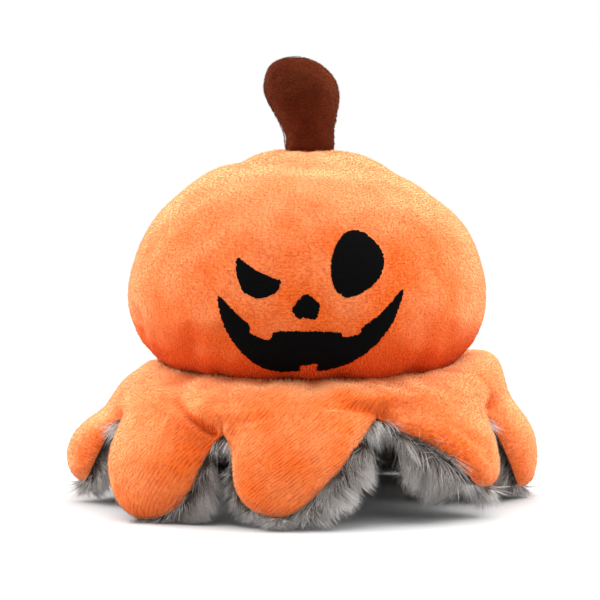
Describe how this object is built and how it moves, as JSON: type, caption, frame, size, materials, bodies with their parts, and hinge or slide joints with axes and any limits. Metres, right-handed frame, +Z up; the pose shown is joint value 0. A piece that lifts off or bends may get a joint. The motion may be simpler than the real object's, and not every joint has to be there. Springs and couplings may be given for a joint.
{
  "type": "plush pumpkin dog toy",
  "caption": "Stuffed pumpkin-headed dog toy with a sewn jack-o'-lantern face, a plush stem and a skirt of padded legs lined with grey faux fur.",
  "frame": {"origin": "on the floor under the middle of the ring of feet", "axes": "+Z up through the stem, face towards -Y, +X to the right as seen from the front"},
  "size_m": [0.2016, 0.2016, 0.1905],
  "materials": {
    "orange_plush": "short orange pile, soft sheen at the edges",
    "brown_plush": "short brown pile",
    "black_cloth": "flat black embroidered cloth",
    "grey_fur": "long grey faux fur with pale tips and dark roots",
    "fibre_fill": "white polyester fibre fill",
    "squeaker_plastic": "soft translucent vinyl"
  },
  "bodies": {
    "toy_body": {"head_cover": "orange_plush", "head_stuffing": "fibre_fill", "squeaker_bulb": "squeaker_plastic", "squeaker_reed": "squeaker_plastic", "left_eye": "black_cloth", "right_eye": "black_cloth", "nose": "black_cloth", "mouth": "black_cloth", "skirt_cover": "orange_plush", "skirt_padding": "fibre_fill", "skirt_lining": "grey_fur", "belly_lining": "grey_fur"},
    "stem": {"stem_cover": "brown_plush", "stem_stuffing": "fibre_fill"},
    "leg_1": {"leg_cover_1": "orange_plush", "leg_fur_1": "grey_fur", "leg_padding_1": "fibre_fill"},
    "leg_2": {"leg_cover_2": "orange_plush", "leg_fur_2": "grey_fur", "leg_padding_2": "fibre_fill"},
    "leg_3": {"leg_cover_3": "orange_plush", "leg_fur_3": "grey_fur", "leg_padding_3": "fibre_fill"},
    "leg_4": {"leg_cover_4": "orange_plush", "leg_fur_4": "grey_fur", "leg_padding_4": "fibre_fill"},
    "leg_5": {"leg_cover_5": "orange_plush", "leg_fur_5": "grey_fur", "leg_padding_5": "fibre_fill"},
    "leg_6": {"leg_cover_6": "orange_plush", "leg_fur_6": "grey_fur", "leg_padding_6": "fibre_fill"},
    "leg_7": {"leg_cover_7": "orange_plush", "leg_fur_7": "grey_fur", "leg_padding_7": "fibre_fill"},
    "leg_8": {"leg_cover_8": "orange_plush", "leg_fur_8": "grey_fur", "leg_padding_8": "fibre_fill"}
  },
  "joints": [
    {"name": "stem_bend", "type": "hinge", "parent": "toy_body", "child": "stem", "pos_m": [0.003, 0, 0.154], "axis": [0, 1, 0], "range_deg": [-20, 20], "stiffness_Nm_per_rad": 0.08},
    {"name": "leg_1_fold", "type": "hinge", "parent": "toy_body", "child": "leg_1", "pos_m": [0, -0.08414, 0.0488], "axis": [-1, 0, 0], "range_deg": [-22, 40], "stiffness_Nm_per_rad": 0.12},
    {"name": "leg_2_fold", "type": "hinge", "parent": "toy_body", "child": "leg_2", "pos_m": [0.0595, -0.0595, 0.0488], "axis": [-0.7071, -0.7071, 0], "range_deg": [-22, 40], "stiffness_Nm_per_rad": 0.12},
    {"name": "leg_3_fold", "type": "hinge", "parent": "toy_body", "child": "leg_3", "pos_m": [0.08414, 0, 0.0488], "axis": [0, -1, 0], "range_deg": [-22, 40], "stiffness_Nm_per_rad": 0.12},
    {"name": "leg_4_fold", "type": "hinge", "parent": "toy_body", "child": "leg_4", "pos_m": [0.0595, 0.0595, 0.0488], "axis": [0.7071, -0.7071, 0], "range_deg": [-22, 40], "stiffness_Nm_per_rad": 0.12},
    {"name": "leg_5_fold", "type": "hinge", "parent": "toy_body", "child": "leg_5", "pos_m": [0, 0.08414, 0.0488], "axis": [1, 0, 0], "range_deg": [-22, 40], "stiffness_Nm_per_rad": 0.12},
    {"name": "leg_6_fold", "type": "hinge", "parent": "toy_body", "child": "leg_6", "pos_m": [-0.0595, 0.0595, 0.0488], "axis": [0.7071, 0.7071, 0], "range_deg": [-22, 40], "stiffness_Nm_per_rad": 0.12},
    {"name": "leg_7_fold", "type": "hinge", "parent": "toy_body", "child": "leg_7", "pos_m": [-0.08414, 0, 0.0488], "axis": [0, 1, 0], "range_deg": [-22, 40], "stiffness_Nm_per_rad": 0.12},
    {"name": "leg_8_fold", "type": "hinge", "parent": "toy_body", "child": "leg_8", "pos_m": [-0.0595, -0.0595, 0.0488], "axis": [-0.7071, 0.7071, 0], "range_deg": [-22, 40], "stiffness_Nm_per_rad": 0.12}
  ]
}
